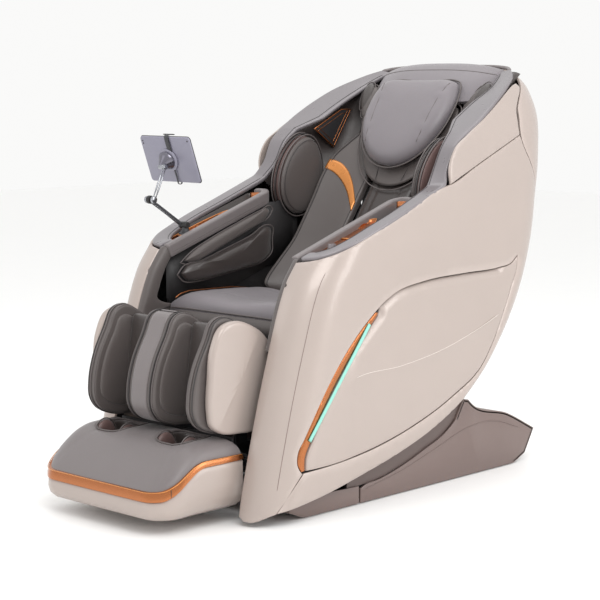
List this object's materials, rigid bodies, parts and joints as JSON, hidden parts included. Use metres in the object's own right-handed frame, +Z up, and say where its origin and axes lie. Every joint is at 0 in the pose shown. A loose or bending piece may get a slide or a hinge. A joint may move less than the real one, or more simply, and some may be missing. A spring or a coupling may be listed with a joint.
{
  "type": "massage chair",
  "caption": "Reclining massage chair with wrapped side shells, roller track, air pads, lifting leg rest, footrest, head pillow and a jointed tablet holder on one armrest.",
  "frame": {"origin": "on the floor under the middle cross bar of the base frame", "axes": "+Z up, the sitter faces -Y, +X is the sitter's left"},
  "size_m": [0.8242, 1.5448, 1.2342],
  "materials": {
    "beige_shell": "pearl gloss",
    "gray_leather": "fine grain",
    "gray_trim": "satin",
    "mauve_plastic": "satin",
    "mauve_leather": "fine grain",
    "copper_trim": "metallised copper",
    "light_bar": "lit diffuser in copper trim",
    "black_plastic": "fine texture",
    "painted_steel": "powder coat",
    "bright_steel": "satin",
    "rubber": "matte",
    "tablet_case": "anodised",
    "switch_red": "gloss"
  },
  "bodies": {
    "base": {"base_frame": "painted_steel", "base_front_cover": "mauve_plastic", "base_rear_cover": "mauve_plastic", "power_inlet": "black_plastic"},
    "power_switch": {"power_switch": "switch_red"},
    "wheels": {"transport_wheels": "rubber"},
    "carriage": {"carriage_frame": "painted_steel"},
    "front_shaft": {"front_roller_shaft": "bright_steel"},
    "rear_shaft": {"rear_roller_shaft": "bright_steel"},
    "chair": {"seat_frame": "painted_steel", "air_pump": "black_plastic", "side_panel_left": "beige_shell", "side_panel_right": "beige_shell", "leaf_panel_left": "beige_shell", "leaf_panel_right": "beige_shell", "led_strip_left": "light_bar", "led_strip_right": "light_bar", "wing_panel_left": "beige_shell", "wing_panel_right": "beige_shell", "rim_rail_left": "gray_trim", "rim_rail_right": "gray_trim", "armrest_left": "gray_leather", "armrest_right": "gray_leather", "arm_tray_left": "copper_trim", "arm_tray_right": "copper_trim", "arm_pad_left": "gray_leather", "arm_pad_right": "gray_leather", "shoulder_pad_left": "mauve_leather", "shoulder_pad_right": "mauve_leather", "speaker_left": "black_plastic", "speaker_right": "black_plastic", "back_lobe_left": "gray_leather", "back_lobe_right": "gray_leather", "back_cover": "beige_shell", "top_cap": "gray_leather", "seat_cushion": "gray_leather", "back_center_pad": "gray_leather", "track_frame": "painted_steel"},
    "pillow": {"head_pillow": "gray_leather"},
    "massage": {"massage_carriage": "black_plastic"},
    "massage_arm_left": {"massage_arm_left": "painted_steel"},
    "massage_arm_right": {"massage_arm_right": "painted_steel"},
    "roller_left": {"massage_roller_left": "rubber"},
    "roller_right": {"massage_roller_right": "rubber"},
    "leg": {"leg_frame": "painted_steel", "calf_rest": "gray_leather", "calf_shell_left": "beige_shell", "calf_shell_right": "beige_shell"},
    "foot": {"footrest_shell": "beige_shell", "footrest_trim": "copper_trim", "footrest_pad": "gray_leather"},
    "leg_tube": {"leg_actuator_tube": "bright_steel"},
    "leg_rod": {"leg_actuator_rod": "bright_steel"},
    "tablet_base": {"tablet_arm_base": "bright_steel"},
    "lower_link": {"tablet_lower_link": "bright_steel"},
    "upper_link": {"tablet_upper_link": "bright_steel"},
    "clamp": {"tablet_clamp": "bright_steel", "tablet": "tablet_case"},
    "jaw": {"tablet_jaw": "bright_steel"},
    "knob": {"control_knob": "gray_trim"}
  },
  "joints": [
    {"name": "carriage_slide", "type": "slide", "parent": "base", "child": "carriage", "axis": [0, -1, 0], "range_m": [0, 0.1]},
    {"name": "recline", "type": "hinge", "parent": "carriage", "child": "chair", "pos_m": [0, -0.177, 0.936], "axis": [-1, 0, 0], "range_deg": [0, 25]},
    {"name": "front_roller_spin", "type": "hinge", "parent": "carriage", "child": "front_shaft", "pos_m": [0, -0.23438, 0.1154], "axis": [1, 0, 0], "range_deg": [-5, 915]},
    {"name": "rear_roller_spin", "type": "hinge", "parent": "carriage", "child": "rear_shaft", "pos_m": [0, 0.022, 0.13783], "axis": [1, 0, 0], "range_deg": [-5, 915]},
    {"name": "leg_lift", "type": "hinge", "parent": "chair", "child": "leg", "pos_m": [0, -0.335, 0.47], "axis": [-1, 0, 0], "range_deg": [0, 80]},
    {"name": "footrest_extend", "type": "slide", "parent": "leg", "child": "foot", "axis": [0, -0.2371, -0.9715], "range_m": [0, 0.12]},
    {"name": "leg_tube_swing", "type": "hinge", "parent": "chair", "child": "leg_tube", "pos_m": [0, 0.105, 0.222], "axis": [1, 0, 0], "range_deg": [0, 4]},
    {"name": "leg_rod_extend", "type": "slide", "parent": "leg_tube", "child": "leg_rod", "axis": [0, -0.8996, 0.4367], "range_m": [0, 0.075]},
    {"name": "pillow_lift", "type": "hinge", "parent": "chair", "child": "pillow", "pos_m": [0, 0.65475, 1.14432], "axis": [-1, 0, 0], "range_deg": [0, 25]},
    {"name": "massage_travel", "type": "slide", "parent": "chair", "child": "massage", "axis": [0, 0.5789, 0.8154], "range_m": [0, 0.4]},
    {"name": "massage_arm_left_knead", "type": "hinge", "parent": "massage", "child": "massage_arm_left", "pos_m": [0.066, 0.37851, 0.5877], "axis": [1, 0, 0], "range_deg": [0, 8]},
    {"name": "massage_arm_right_knead", "type": "hinge", "parent": "massage", "child": "massage_arm_right", "pos_m": [-0.066, 0.37851, 0.5877], "axis": [1, 0, 0], "range_deg": [0, 8]},
    {"name": "roller_left_spin", "type": "hinge", "parent": "massage_arm_left", "child": "roller_left", "pos_m": [0.084, 0.38455, 0.63247], "axis": [1, 0, 0], "continuous": true},
    {"name": "roller_right_spin", "type": "hinge", "parent": "massage_arm_right", "child": "roller_right", "pos_m": [-0.084, 0.38455, 0.63247], "axis": [1, 0, 0], "continuous": true},
    {"name": "transport_wheel_spin", "type": "hinge", "parent": "base", "child": "wheels", "pos_m": [0, 0.6, 0.03], "axis": [1, 0, 0], "continuous": true},
    {"name": "power_switch_rock", "type": "hinge", "parent": "base", "child": "power_switch", "pos_m": [0.2355, 0.68753, 0.12664], "axis": [1, 0, 0], "range_deg": [0, 8]},
    {"name": "control_knob_turn", "type": "hinge", "parent": "chair", "child": "knob", "pos_m": [0.297, -0.138, 0.7249], "axis": [0, 0, 1], "range_deg": [-150, 150]},
    {"name": "tablet_swivel", "type": "hinge", "parent": "chair", "child": "tablet_base", "pos_m": [-0.297, -0.138, 0.7161], "axis": [0, 0, 1], "range_deg": [-60, 60]},
    {"name": "tablet_lower_pivot", "type": "hinge", "parent": "tablet_base", "child": "lower_link", "pos_m": [-0.297, -0.138, 0.7501], "axis": [1, 0, 0], "range_deg": [-25, 25]},
    {"name": "tablet_elbow", "type": "hinge", "parent": "lower_link", "child": "upper_link", "pos_m": [-0.33, -0.248, 0.83], "axis": [1, 0, 0], "range_deg": [-40, 40]},
    {"name": "tablet_tilt", "type": "hinge", "parent": "upper_link", "child": "clamp", "pos_m": [-0.3125, -0.204, 0.925], "axis": [1, 0, 0], "range_deg": [-20, 25]},
    {"name": "tablet_jaw_slide", "type": "slide", "parent": "clamp", "child": "jaw", "axis": [0, -0.342, 0.9397], "range_m": [0, 0.03], "stiffness_N_per_m": 150, "springref_m": -0.02}
  ],
  "couplings": [
    {"joint": "carriage_slide", "follows": "recline", "m_per_rad": 0.229},
    {"joint": "front_roller_spin", "follows": "recline", "ratio": 36.36},
    {"joint": "rear_roller_spin", "follows": "recline", "ratio": 36.36},
    {"joint": "leg_tube_swing", "follows": "leg_lift", "ratio": 0.0437},
    {"joint": "leg_rod_extend", "follows": "leg_lift", "m_per_rad": 0.0509},
    {"joint": "massage_arm_right_knead", "follows": "massage_arm_left_knead", "ratio": 1}
  ]
}
